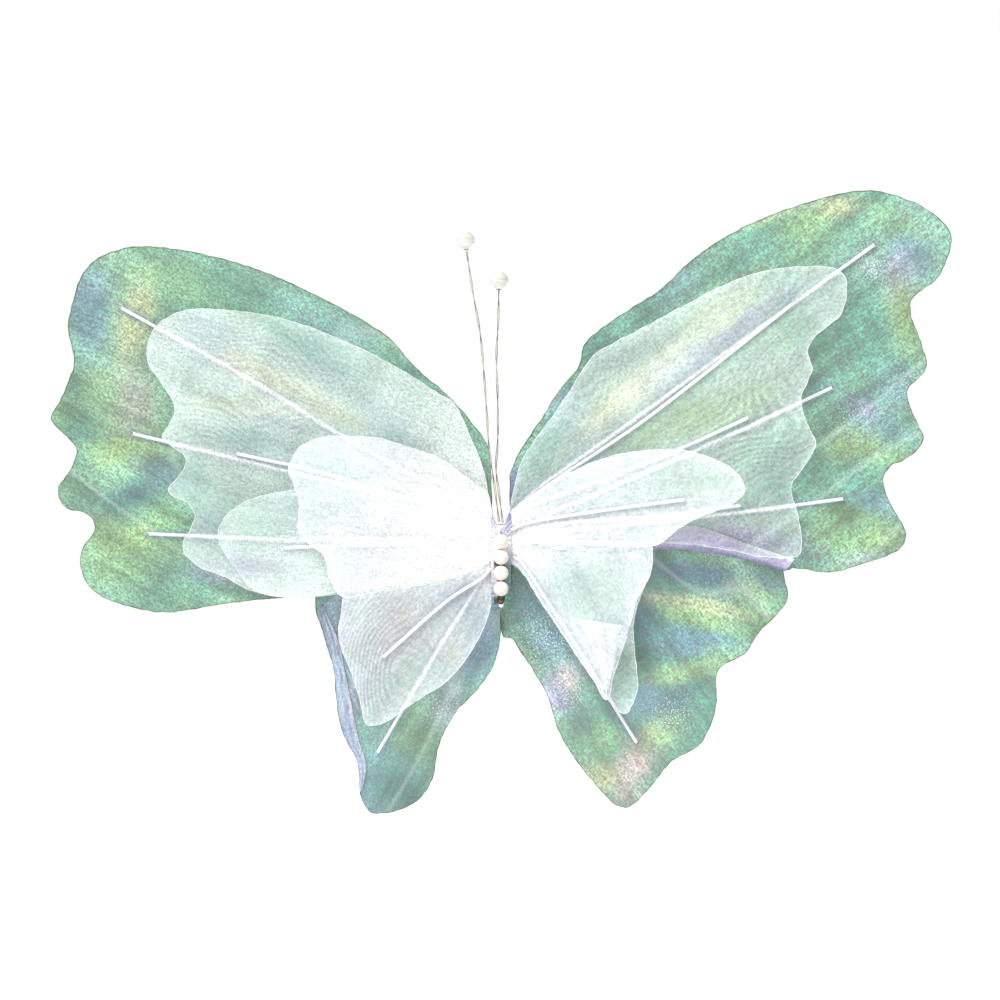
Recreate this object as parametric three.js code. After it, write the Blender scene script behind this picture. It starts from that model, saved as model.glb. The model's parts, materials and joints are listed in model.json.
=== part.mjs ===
// Fairy wings: three layers of organza panels on each side, each panel stiffened by wrapped wire
// veins and bound at its root to a taped stem, with a strung row of pearls in front, two wire
// antennae and a felt pad behind.
// Millimetres, +Z up. The wings face -Y, x = 0 is the middle of the stem, the pad's rear face
// lies on y = 0 and the row of pearls is centred on z = 0.
import * as THREE from "three";

// overall sizes
const LARGE_REACH = 295; // middle to the tip of the large layer
const MEDIUM_REACH = 232; // middle to the tip of the medium layer
const SMALL_REACH = 139; // middle to the tip of the left small forewing

// materials and wires
const FABRIC = 0.5; // thickness of a panel
const VEIN = 1.8; // diameter of a wrapped vein wire
const ANTENNA_WIRE = 1.5;
const STRING_WIRE = 0.8;
const BODY_PEARL = 10;
const BODY_PEARLS = 4;
const ANTENNA_PEARL = 12;

// stem and pad
const TAPE_WIDTH = 7;
const TAPE_WALL = 0.8;
const TAPE_PAST_PEARLS_TOP = 6.5;
const TAPE_PAST_PEARLS_BOTTOM = 5.5;
const PAD_WIDTH = 15;
const PAD_HEIGHT = 44;
const PAD_THICK = 2.5;
const LACE_HOLE = 3.2; // for a shoulder elastic
const LACE_EDGE = 3.6; // hole centre to the pad's edge

// clearances
const GAP = 0.3; // between pieces that touch
const LAYER_CLEARANCE = 0.4; // a vein to the panel in front of it
const ROOT_CLEARANCE = 2.6; // tape to the panels' inner edges, room to swing
const PAD_CLEARANCE = 2.45; // pad to the rearmost panel, room to swing back

// where each layer lies
const rootX = TAPE_WIDTH / 2 + ROOT_CLEARANCE;
const veinRootX = rootX + VEIN / 2;
const pitch = FABRIC + GAP + VEIN + LAYER_CLEARANCE;
const backLayerY = -(PAD_THICK + PAD_CLEARANCE + FABRIC / 2);
const layerY = (step) => backLayerY - step * pitch;
const flapAxisY = layerY(2) - FABRIC - GAP;
const veinLift = FABRIC / 2 + GAP + VEIN / 2;
const toRadians = THREE.MathUtils.degToRad;

// the middle
const tapeBackY = -(PAD_THICK + GAP);
const tapeNoseY = flapAxisY - TAPE_WIDTH / 2;
const pearlY = tapeNoseY - GAP - BODY_PEARL / 2;
const pearlPitch = BODY_PEARL + GAP;
const columnHalf = ((BODY_PEARLS - 1) * pearlPitch + BODY_PEARL) / 2;
const tapeTop = columnHalf + TAPE_PAST_PEARLS_TOP;
const tapeBottom = -columnHalf - TAPE_PAST_PEARLS_BOTTOM;
const underTape = tapeBottom - 1; // the large hindwings only reach inwards below the tape

const SIDES = 8; // of a wire's section
const STEPS_PER_POINT = 3; // along a wire, between two of its points
const EDGE_STEPS = 2; // along a panel's edge, between two of its points
const PEARL_STEPS = 9;
const PEARL_SEGMENTS = 16;

const fairyWings = new THREE.Group();

function addMesh(name, geometry, finish, parent = fairyWings) {
  const mesh = new THREE.Mesh(geometry, new THREE.MeshStandardMaterial(finish));
  mesh.name = name;
  parent.add(mesh);
  return mesh;
}

const greenOrganza = { color: 0x9cc8b0, roughness: 0.35, metalness: 0.1 };
const whiteOrganza = { color: 0xe6f2f0, roughness: 0.4, metalness: 0.05 };
const veinWhite = { color: 0xfafafc, roughness: 0.35, metalness: 0 };
const pearlCream = { color: 0xfbf6ec, roughness: 0.25, metalness: 0 };
const antennaGold = { color: 0x9a7c48, roughness: 0.35, metalness: 0.9 };
const tapeOlive = { color: 0x3d3b24, roughness: 0.8, metalness: 0 };
const stemBrown = { color: 0x6b543a, roughness: 0.8, metalness: 0 };
const feltWhite = { color: 0xf2efe8, roughness: 0.95, metalness: 0 };

// A wire keeps its steps at its own points, so short bends near a root stay smooth.
class WireCurve extends THREE.CatmullRomCurve3 {
  getUtoTmapping(u) {
    return u;
  }
}

function wireGeometry(points, diameter) {
  const curve = new WireCurve(points, false, "centripetal");
  const corners = Array.from({ length: SIDES }, (_, i) => {
    const turn = (2 * Math.PI * (i + 0.5)) / SIDES;
    return new THREE.Vector2(Math.cos(turn), Math.sin(turn)).multiplyScalar(diameter / 2);
  });
  return new THREE.ExtrudeGeometry(new THREE.Shape(corners), {
    extrudePath: curve,
    steps: STEPS_PER_POINT * (points.length - 1),
  });
}

// A pearl turned about Y: bored right through, or blind from below up to its middle.
function pearlGeometry(diameter, bore, blind) {
  const r = diameter / 2;
  const lip = Math.asin(bore / diameter);
  const end = blind ? Math.PI : Math.PI - lip;
  const profile = [];
  for (let i = 0; i <= PEARL_STEPS; i++) {
    const turn = lip + ((end - lip) * i) / PEARL_STEPS;
    profile.push(new THREE.Vector2(Math.max(0, r * Math.sin(turn)), -r * Math.cos(turn)));
  }
  if (blind) {
    profile.unshift(new THREE.Vector2(0, 0), new THREE.Vector2(bore / 2, 0));
    profile[profile.length - 1].x = 0;
  } else {
    profile.push(profile[0].clone());
  }
  return new THREE.LatheGeometry(profile, PEARL_SEGMENTS);
}

// A panel's plane: it stands at its root and leans forwards by its spread angle.
function panelGroup(panel) {
  const group = new THREE.Group();
  group.position.set(panel.side * rootX, layerY(panel.layer), 0);
  group.rotation.z = -panel.side * toRadians(panel.spread);
  fairyWings.add(group);
  return group;
}

// Front-view distance from the middle, turned into a distance along the leaning panel.
function alongPanel(panel, fromMiddle) {
  return (panel.side * (fromMiddle - rootX)) / Math.cos(toRadians(panel.spread));
}

function inPanel(panel, [across, up]) {
  const unit = panel.reach / 100;
  return new THREE.Vector2(alongPanel(panel, across * unit), up * unit);
}

// The edge runs from the top of the root round the panel to the bottom of the root.
function panelGeometry(panel) {
  const [top, bottom] = panel.root;
  const shape = new THREE.Shape();
  shape.moveTo(0, top);
  shape.splineThru(panel.edge.map((point) => inPanel(panel, point)));
  shape.lineTo(0, bottom);
  shape.closePath();
  const geometry = new THREE.ExtrudeGeometry(shape, {
    depth: FABRIC,
    bevelEnabled: false,
    curveSegments: EDGE_STEPS,
  });
  return geometry.translate(0, 0, -FABRIC / 2).rotateX(Math.PI / 2);
}

// A vein starts beside the tape at its own height and follows its points to the tip.
function veinGeometry(panel, vein) {
  const flat = vein.points.map((point) => inPanel(panel, point));
  flat.unshift(new THREE.Vector2(alongPanel(panel, veinRootX), vein.rootZ));
  const points = flat.map((point) => new THREE.Vector3(point.x, -veinLift, point.y));
  return wireGeometry(points, VEIN);
}

function addPanel(panel) {
  const group = panelGroup(panel);
  addMesh(panel.name, panelGeometry(panel), panel.finish, group);
  panel.veins.forEach((vein, i) => {
    addMesh(`${panel.name}_vein_${i + 1}`, veinGeometry(panel, vein), veinWhite, group);
  });
}

const LEFT = -1;
const RIGHT = 1;

// Edges and veins are in hundredths of their layer's reach: across from the middle, then up.
const large = { reach: LARGE_REACH, layer: 0, spread: 5, finish: greenOrganza };
const mediumFore = { reach: MEDIUM_REACH, layer: 1, spread: 7.5, finish: whiteOrganza };
const mediumHind = { reach: MEDIUM_REACH, layer: 2, spread: 9.5, finish: whiteOrganza };
const small = { reach: SMALL_REACH, layer: 3, spread: 12, finish: whiteOrganza };

addPanel({
  ...large,
  name: "left_large_forewing",
  side: LEFT,
  root: [30, 4],
  edge: [
    [2.7, 25], [6, 31], [11.5, 37.5], [19, 44], [26, 51.5], [38, 58.5], [52, 65], [65, 69],
    [78.5, 71], [87.5, 69.5], [93, 65], [95.5, 58], [96.5, 53], [95, 45.5], [97.5, 38],
    [100, 33], [98, 30], [94.5, 26], [96, 21], [98.5, 17], [97, 13], [92, 11.5], [90.5, 8],
    [93, 4], [93.5, 0], [91.5, -5], [85, -8.5], [75, -10.5], [65, -9], [52, -7.5],
    [36.5, -6.5], [22.5, -5], [13.5, -3.5], [5, -0.5],
  ],
  veins: [
    { rootZ: 26.5, points: [[5.4, 11.6], [35, 28.6], [56, 41.4], [84.6, 57.3]] },
    { rootZ: 22.5, points: [[5.4, 10.2], [47, 20.8], [82, 29.3]] },
    { rootZ: 13.3, points: [[5.4, 4.7], [45, 5.6], [78.5, 7]] },
  ],
});

addPanel({
  ...large,
  name: "left_large_hindwing",
  side: LEFT,
  root: [2.5, underTape],
  edge: [
    [5, -1.1], [13.5, -4.1], [22.5, -5.6], [36.5, -7.2], [41.5, -7.9], [39.5, -16], [37.5, -23],
    [36.5, -32.5], [35, -38.5], [32, -44.5], [31.5, -51], [29.5, -55], [26.5, -55.5], [22, -54.5],
    [17.5, -51.5], [15, -46.5], [14, -40.5], [10.5, -33.5], [5.5, -28], [2, -23], [0.7, -18],
    [1, -13],
  ],
  veins: [{ rootZ: -1, points: [[3.5, -2], [13.6, -18], [27.7, -42]] }],
});

addPanel({
  ...mediumFore,
  name: "left_medium_forewing",
  side: LEFT,
  root: [30, 4],
  edge: [
    [4.6, 25.5], [8.3, 35.5], [13, 45.5], [17.5, 48.5], [28.5, 55.5], [40, 61.5], [57, 68.5],
    [71.5, 71.5], [85.5, 72.5], [94.5, 70], [99.5, 64], [99.5, 57], [95.5, 51], [92, 44],
    [95, 38], [95.5, 35.5], [89.5, 31], [90, 26.5], [94, 21], [88.5, 17.5], [86.5, 13],
    [90, 5.5], [86, 0], [78.5, -3], [71.5, -7], [63, -8.5], [54, -9], [44.5, -8], [28.5, -6],
    [17.5, -3.5], [7.5, -0.5],
  ],
  veins: [
    { rootZ: 25, points: [[6.9, 12.2], [48.6, 25.6], [74.8, 31.6]] },
    { rootZ: 15.8, points: [[6.9, 6.9], [64.9, 8]] },
  ],
});

addPanel({
  ...mediumHind,
  name: "left_medium_hindwing",
  side: LEFT,
  root: [19, 4],
  edge: [
    [9, 18], [28.5, 23.5], [46, 23], [57.5, 21.5], [68, 19.5], [75.5, 16], [79.5, 10.5],
    [79, 5.5], [75, -0.5], [71.5, -5.5], [67, -8], [60, -9], [51.5, -8.5], [37.5, -6.5],
    [20, -4], [7.5, -0.3],
  ],
  veins: [{ rootZ: 11, points: [[6.9, 6], [61.5, 5]] }],
});

addPanel({
  ...small,
  name: "left_small_forewing",
  side: LEFT,
  root: [36, 3.5],
  edge: [
    [6.5, 34.5], [10, 37], [19.5, 44], [29, 51], [41, 55], [57.5, 60], [72, 61], [84, 60.5],
    [95, 55.5], [100, 46], [98.5, 40.5], [95, 28.5], [95.5, 16.5], [90, 9.5], [83.5, 4.5],
    [81, -6], [74.5, -15], [62.5, -13], [48, -11], [34, -8.5], [19.5, -5], [9, -1],
  ],
  veins: [],
});

addPanel({
  ...small,
  name: "left_small_hindwing",
  side: LEFT,
  root: [1.5, -24],
  edge: [
    [9, -2.5], [19.5, -6.5], [34, -10], [48, -12.5], [62.5, -14.5], [73, -17], [76, -26],
    [76.5, -35.5], [72, -47.5], [67, -62], [64.5, -74], [59.5, -75.5], [52, -72.5], [38.5, -63],
    [26.5, -55.5], [15.5, -43], [8.5, -30], [5.5, -22],
  ],
  veins: [{ rootZ: -2.5, points: [[9, -6], [24.5, -16], [56, -43.5]] }],
});

addPanel({
  ...large,
  name: "right_large_forewing",
  side: RIGHT,
  root: [38, 12],
  edge: [
    [2.1, 20], [4.3, 25.5], [9, 32.5], [13, 39], [17.5, 44.5], [18.6, 49], [22, 52.5], [31, 58.5],
    [35.5, 61.5], [44.5, 69.5], [55.5, 76], [69, 81], [81.5, 83.5], [91.5, 81], [98.5, 76],
    [100, 71.5], [97, 64], [91.5, 59.5], [91.5, 54.5], [94, 48], [94.5, 43.5], [90.5, 39],
    [92, 33], [94, 28], [90.5, 24], [86.5, 22], [85, 18.5], [87, 13], [90, 7.5], [88.5, 3.5],
    [82.5, 1], [73.5, -1.5], [66, -0.5], [63, -1], [58, 1], [53.5, 2], [44.5, 3.5], [34, 3.8],
    [22, 3.4], [13, 3.6], [6.5, 4.2],
  ],
  veins: [
    { rootZ: 31, points: [[5.4, 14.6], [24.4, 28.6], [83.2, 71.4]] },
    { rootZ: 24.5, points: [[5.4, 9.3], [22, 16.3], [44.5, 26], [73.8, 39.6]] },
    { rootZ: 19.8, points: [[5.4, 6.9], [22, 8.5], [55.7, 12.1], [76.3, 14.8]] },
    { rootZ: 15.5, points: [[5.4, 5.2], [34.5, 4.7], [45.6, 4.5]] },
  ],
});

addPanel({
  ...large,
  name: "right_large_hindwing",
  side: RIGHT,
  root: [10.5, underTape],
  edge: [
    [6.5, 3.3], [13, 2.8], [22, 2.6], [34, 3], [44.5, 2.7], [53.5, 1.2], [58, 0.2], [62.5, -3],
    [64, -5.5], [63.5, -8.5], [60, -12.5], [57.5, -15], [54.5, -19.5], [49.5, -22.5], [48, -25.5],
    [48, -32], [44.5, -40], [38.5, -43.5], [33.5, -49.5], [29, -54], [25.5, -53.5], [22, -50],
    [17.5, -44.5], [13, -37.5], [10.5, -29.5], [6.5, -22.5], [3.2, -17.5], [1, -14.8], [0.9, -12.2],
  ],
  veins: [{ rootZ: 5, points: [[4.5, 0], [13.2, -12.3], [22.1, -26.4], [30.4, -39.8]] }],
});

addPanel({
  ...mediumFore,
  name: "right_medium_forewing",
  side: RIGHT,
  root: [38, 14],
  edge: [
    [4.2, 24], [7, 31.5], [17, 45.5], [25, 58], [31, 62.5], [39.5, 67], [51, 73], [62.5, 79],
    [73.5, 83], [85, 84.5], [95, 83.5], [97.5, 79], [96, 71], [89.5, 65.5], [86.5, 60.5],
    [88, 55.5], [85, 47.5], [86.5, 40], [89, 34], [85, 27], [82, 22], [84, 14], [85, 7],
    [83.5, 2.5], [74, 2.5], [68, 3.7], [56.5, 5.7], [43, 6.3], [28, 5.7], [17, 5.7], [8.3, 6.2],
  ],
  veins: [
    { rootZ: 30, points: [[6.9, 17.6], [41, 41.3], [82.2, 73.7]] },
    { rootZ: 25.5, points: [[6.9, 15.6], [28.2, 24], [51, 33], [70, 41.8]] },
    { rootZ: 17, points: [[6.9, 10.2], [45.2, 13.9], [68, 17]] },
  ],
});

addPanel({
  ...mediumHind,
  name: "right_medium_hindwing",
  side: RIGHT,
  root: [10.5, 1],
  edge: [
    [11, 4], [28, 3], [39.5, 3.2], [41.5, -3], [39, -10], [37.5, -18.5], [38.5, -30.5],
    [38.5, -35.5], [35.5, -42], [31, -39], [25.5, -31.5], [18, -20.5], [11, -10], [6, -2],
  ],
  veins: [],
});

addPanel({
  ...small,
  name: "right_small_forewing",
  side: RIGHT,
  root: [34, 13],
  edge: [
    [8, 28.5], [28, 41.5], [47, 50], [66, 54], [85, 54.5], [99.5, 50.5], [110.5, 44], [114.5, 35.5],
    [108, 28.5], [95, 23.5], [84, 17.5], [72, 9], [56.5, 9.3], [42.5, 7.2], [28, 7.5], [18.5, 10],
    [10, 9.8],
  ],
  veins: [{ rootZ: 23, points: [[11.5, 19.5], [47, 25.7], [86.7, 31]] }],
});

addPanel({
  ...small,
  name: "right_small_hindwing",
  side: RIGHT,
  root: [10.5, 1],
  edge: [
    [10, 7.5], [18.5, 7], [28, 5.2], [42.5, 5.2], [56.5, 7], [70.5, 6.5], [70, -5], [64.5, -15],
    [61.5, -26], [57, -41], [53, -52], [50, -64], [42.5, -52.5], [30.5, -34.5], [18.5, -16.5],
    [12.5, -7], [7.5, -0.5],
  ],
  veins: [{ rootZ: 6, points: [[9, 2], [23.3, -19], [49, -59]] }],
});

// The taped bundle: flat at the back, round at the nose where the pearls rest.
function tapeOutline(inset) {
  const half = TAPE_WIDTH / 2 - inset;
  const outline = new THREE.Shape();
  outline.moveTo(-half, tapeBackY - inset);
  outline.lineTo(-half, flapAxisY);
  outline.absarc(0, flapAxisY, half, Math.PI, 2 * Math.PI, false);
  outline.lineTo(half, tapeBackY - inset);
  outline.closePath();
  return outline;
}

function upright(shape, bottom, top) {
  const options = { depth: top - bottom, bevelEnabled: false, curveSegments: 10 };
  return new THREE.ExtrudeGeometry(shape, options).translate(0, 0, bottom);
}

const tapeShape = tapeOutline(0);
tapeShape.holes.push(tapeOutline(TAPE_WALL));
addMesh("tape_wrap", upright(tapeShape, tapeBottom, tapeTop), tapeOlive);
const coreShape = tapeOutline(TAPE_WALL + GAP);
addMesh("stem_core", upright(coreShape, tapeBottom + 1, tapeTop - 1), stemBrown);

// The pearls hang on a wire whose two ends turn back onto the tape.
for (let i = 0; i < BODY_PEARLS; i++) {
  const pearl = addMesh(
    `body_pearl_${i + 1}`,
    pearlGeometry(BODY_PEARL, STRING_WIRE + 2 * GAP, false),
    pearlCream,
  );
  pearl.rotation.x = Math.PI / 2;
  pearl.position.set(0, pearlY, columnHalf - BODY_PEARL / 2 - i * pearlPitch);
}

const bend = BODY_PEARL / 5;
const stringEndY = tapeNoseY - GAP;
const stringHalf = [
  [stringEndY, columnHalf + 2 * bend],
  [stringEndY - bend, columnHalf + 1.9 * bend],
  [pearlY + 0.3 * bend, columnHalf + bend],
  [pearlY, columnHalf - bend / 2],
  [pearlY, columnHalf - 2 * bend],
];
const stringPoints = [
  ...stringHalf.map(([y, z]) => new THREE.Vector3(0, y, z)),
  ...stringHalf.toReversed().map(([y, z]) => new THREE.Vector3(0, y, -z)),
];
addMesh("pearl_string", wireGeometry(stringPoints, STRING_WIRE), antennaGold);

// Each antenna rises from the taped stem's top: across, forwards of the stem's axis, and up.
function addAntenna(name, foot, route) {
  const base = [foot, 0, tapeTop + GAP];
  const points = [base, ...route].map(([x, forward, z]) => {
    return new THREE.Vector3(x, flapAxisY - forward, z);
  });
  addMesh(`${name}_wire`, wireGeometry(points, ANTENNA_WIRE), antennaGold);
  const tip = points.at(-1);
  const along = tip.clone().sub(points.at(-2)).normalize();
  const bore = ANTENNA_WIRE + 2 * GAP;
  const pearl = addMesh(`${name}_pearl`, pearlGeometry(ANTENNA_PEARL, bore, true), pearlCream);
  pearl.position.copy(tip).addScaledVector(along, GAP);
  pearl.quaternion.setFromUnitVectors(new THREE.Vector3(0, 1, 0), along);
}

addAntenna("left_antenna", -1.2, [
  [-4, 1.5, 50],
  [-7.8, 4, 76],
  [-10, 7, 109],
  [-13.8, 12, 153],
  [-17.8, 14.5, 175],
  [-22.8, 18.5, 208],
  [-23.3, 19, 213],
]);
addAntenna("right_antenna", 1.2, [
  [-1.4, 1, 48],
  [-3.3, 2.5, 63],
  [-2.1, 4.5, 84],
  [-2.2, 7, 109],
  [-3, 9.5, 137],
  [-1.9, 12, 160],
  [-1.4, 14, 182],
  [-1.3, 14.4, 187],
]);

// A felt pad closes the back; shoulder elastics lace through its four holes.
const halfWidth = PAD_WIDTH / 2;
const halfHeight = PAD_HEIGHT / 2;
const padShape = new THREE.Shape();
padShape.moveTo(-halfWidth, halfWidth - halfHeight);
padShape.absarc(0, halfWidth - halfHeight, halfWidth, Math.PI, 2 * Math.PI, false);
padShape.absarc(0, halfHeight - halfWidth, halfWidth, 0, Math.PI, false);
padShape.closePath();
for (const x of [LACE_EDGE - halfWidth, halfWidth - LACE_EDGE]) {
  for (const z of [-1, 1]) {
    const hole = new THREE.Path();
    hole.absarc(x, z * (halfHeight - halfWidth), LACE_HOLE / 2, 0, 2 * Math.PI, true);
    padShape.holes.push(hole);
  }
}
const pad = addMesh("back_pad", upright(padShape, 0, PAD_THICK), feltWhite);
pad.rotation.x = Math.PI / 2;

export default fairyWings;
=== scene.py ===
import json
import math

import bpy
import numpy as np
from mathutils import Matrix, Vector, noise
from mathutils.geometry import delaunay_2d_cdt


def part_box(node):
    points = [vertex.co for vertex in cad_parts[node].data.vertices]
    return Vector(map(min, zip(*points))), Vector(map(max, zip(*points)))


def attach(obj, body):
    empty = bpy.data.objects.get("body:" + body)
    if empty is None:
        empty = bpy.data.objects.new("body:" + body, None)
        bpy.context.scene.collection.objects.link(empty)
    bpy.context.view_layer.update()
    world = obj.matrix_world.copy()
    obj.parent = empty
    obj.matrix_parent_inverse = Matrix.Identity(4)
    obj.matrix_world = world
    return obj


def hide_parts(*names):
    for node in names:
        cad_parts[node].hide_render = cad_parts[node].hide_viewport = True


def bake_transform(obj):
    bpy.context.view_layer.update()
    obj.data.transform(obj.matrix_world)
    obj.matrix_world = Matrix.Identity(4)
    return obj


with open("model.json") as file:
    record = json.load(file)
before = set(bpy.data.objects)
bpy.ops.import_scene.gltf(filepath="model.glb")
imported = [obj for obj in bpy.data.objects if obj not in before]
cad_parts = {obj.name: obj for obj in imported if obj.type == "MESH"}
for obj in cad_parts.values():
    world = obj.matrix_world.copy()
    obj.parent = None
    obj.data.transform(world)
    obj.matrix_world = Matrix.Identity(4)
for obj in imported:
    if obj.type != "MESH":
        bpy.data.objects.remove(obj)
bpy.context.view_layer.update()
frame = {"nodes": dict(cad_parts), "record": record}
nodes = frame["nodes"]
bodies = frame["record"]["behaviour"]["bodies"]
bodyOf = {node: body for body, members in bodies.items() for node in members}
print("wings: frame loaded,", len(nodes), "nodes")

mm = 0.001
rootX = 6.1  # the panels' roots stand this far from the middle


def paint(red, green, blue):
    # a colour mixed as 0 to 255, turned into light values
    return tuple(((c / 255 + 0.055) / 1.055) ** 2.4 for c in (red, green, blue))


def light(colour):
    # a colour's light values, ready to be mixed
    return np.array(paint(*colour))


def drift(x, z, size, start):
    # slow, even wandering between about -1 and 1
    spots = zip(np.ravel(x) / size, np.ravel(z) / size)
    return np.array([noise.noise(Vector((a, b, start))) for a, b in spots]) * 1.7


def smoothLine(points, step):
    # an even run of points along a soft curve through the given ones
    p = np.array(points, float)
    p = np.vstack([2 * p[0] - p[1], p, 2 * p[-1] - p[-2]])
    t = np.linspace(0, 1, 12, endpoint=False)[:, None]
    spans = []
    for a, b, c, d in zip(p, p[1:], p[2:], p[3:]):
        spans.append(b + 0.5 * ((c - a) * t + (2 * a - 5 * b + 4 * c - d) * t ** 2
                                + (3 * b - a - 3 * c + d) * t ** 3))
    dense = np.vstack(spans + [p[-2:-1]])
    along = np.concatenate([[0], np.cumsum(np.linalg.norm(np.diff(dense, axis=0), axis=1))])
    at = np.linspace(0, along[-1], max(3, int(round(along[-1] / step)) + 1))
    return np.stack([np.interp(at, along, column) for column in dense.T], axis=1)


def newPiece(name, points, faces, material):
    # points in millimetres
    mesh = bpy.data.meshes.new(name)
    mesh.from_pydata([tuple(p * mm for p in point) for point in points], [], faces)
    mesh.validate()
    mesh.shade_smooth()
    mesh.materials.append(material)
    piece = bpy.data.objects.new(name, mesh)
    bpy.context.scene.collection.objects.link(piece)
    return piece


def addPiece(name, points, faces, material, body, replaces=()):
    piece = newPiece(name, points, faces, material)
    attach(piece, body)
    if replaces:
        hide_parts(*replaces)
    return piece


def keepValues(piece, name, values):
    # one number, or one colour, for each point of the piece
    values = np.asarray(values, np.float32)
    kind = "FLOAT_COLOR" if values.ndim == 2 else "FLOAT"
    layer = piece.data.attributes.new(name, kind, "POINT")
    layer.data.foreach_set("color" if kind == "FLOAT_COLOR" else "value", values.ravel())


def keepWeave(piece, x, z, angle, start):
    # where each point lies along and across the weave, in metres
    turn = math.radians(angle)
    spots = np.column_stack([x * math.cos(turn) + z * math.sin(turn),
                             z * math.cos(turn) - x * math.sin(turn), np.full(len(x), start)])
    layer = piece.data.attributes.new("silk", "FLOAT_VECTOR", "POINT")
    layer.data.foreach_set("vector", (spots * mm).astype(np.float32).ravel())


def ringFaces(rings, sides):
    # the faces between rings of points, each ring closed on itself
    return [(ring * sides + i, ring * sides + (i + 1) % sides,
             (ring + 1) * sides + (i + 1) % sides, (ring + 1) * sides + i)
            for ring in range(rings - 1) for i in range(sides)]


def endFaces(rings, sides):
    return [tuple(reversed(range(sides))), tuple(range((rings - 1) * sides, rings * sides))]


def tubeShape(line, radius, sides):
    # rings of points round a line, closed at both ends
    line = np.array(line, float)
    radius = np.broadcast_to(radius, len(line))
    ahead = np.gradient(line, axis=0)
    ahead /= np.linalg.norm(ahead, axis=1)[:, None]
    across = np.cross(ahead[0], (0.0, 1.0, 0.0) if abs(ahead[0][1]) < 0.9 else (1.0, 0.0, 0.0))
    points, run = [], []
    travelled = np.concatenate([[0], np.cumsum(np.linalg.norm(np.diff(line, axis=0), axis=1))])
    for spot, way, wide, gone in zip(line, ahead, radius, travelled):
        across = across - way * (across @ way)
        across /= np.linalg.norm(across)
        up = np.cross(way, across)
        for turn in np.arange(sides) * 2 * math.pi / sides:
            points.append(spot + wide * (across * math.cos(turn) + up * math.sin(turn)))
            run.append((gone, turn))
    faces = ringFaces(len(line), sides) + endFaces(len(line), sides)
    return points, faces, np.array(run)


def joinShape(points, faces, shape):
    # adds a tube to the lists that a piece is made from
    faces += [tuple(i + len(points) for i in face) for face in shape[1]]
    points += list(shape[0])


def lathe(profile, segments):
    # turns a profile of (distance out, height) about the upright
    points, faces = [], []
    for turn in np.arange(segments) * 2 * math.pi / segments:
        for out, height in profile:
            points.append((out * math.cos(turn), out * math.sin(turn), height))
    n = len(profile)
    for s in range(segments):
        for i in range(n - 1):
            a, b = s * n + i, (s + 1) % segments * n + i
            faces.append((a, b, b + 1, a + 1))
    return points, faces


def wireLine(name):
    # the middle line of a wire node, from its foot by the stem outwards, in millimetres
    spots = np.unique(np.round([tuple(v.co) for v in nodes[name].data.vertices], 7), axis=0) / mm
    centre = spots.mean(0)
    way = np.linalg.svd(spots - centre)[2][0]
    ends = spots[[np.argmin(spots @ way), np.argmax(spots @ way)]]
    home = np.array((0.0, -12.0, 15.0))
    if np.linalg.norm(ends[0] - home) > np.linalg.norm(ends[1] - home):
        way = -way
    spots = spots[np.argsort(spots @ way)]
    places = spots @ way
    cuts = np.where(np.diff(places) > 1.1)[0] + 1
    return np.array([ring.mean(0) for ring in np.split(spots, cuts)])


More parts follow.
